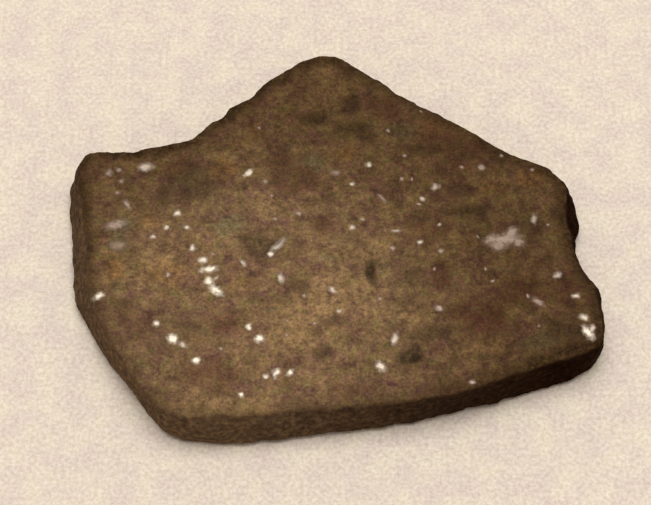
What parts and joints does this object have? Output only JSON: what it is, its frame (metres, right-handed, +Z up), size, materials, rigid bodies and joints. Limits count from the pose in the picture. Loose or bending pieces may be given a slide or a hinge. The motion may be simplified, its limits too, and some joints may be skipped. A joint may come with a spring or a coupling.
{
  "type": "meteorite slice",
  "caption": "Flat sawn slice of a weathered brown stony meteorite with a natural leaning rim, shallow pits and bright metal grains in its cut face.",
  "frame": {"origin": "on the base, below the middle of the slice's bounding box", "axes": "+X along the slice's length, +Y away from the viewer of the picture, +Z up out of the upper cut face"},
  "size_m": [0.08, 0.0636, 0.008],
  "materials": {
    "weathered_stone": "matte sawn stone, mottled brown, with a darker natural rim"
  },
  "bodies": {
    "root": {"meteorite_slice": "weathered_stone"}
  },
  "joints": []
}
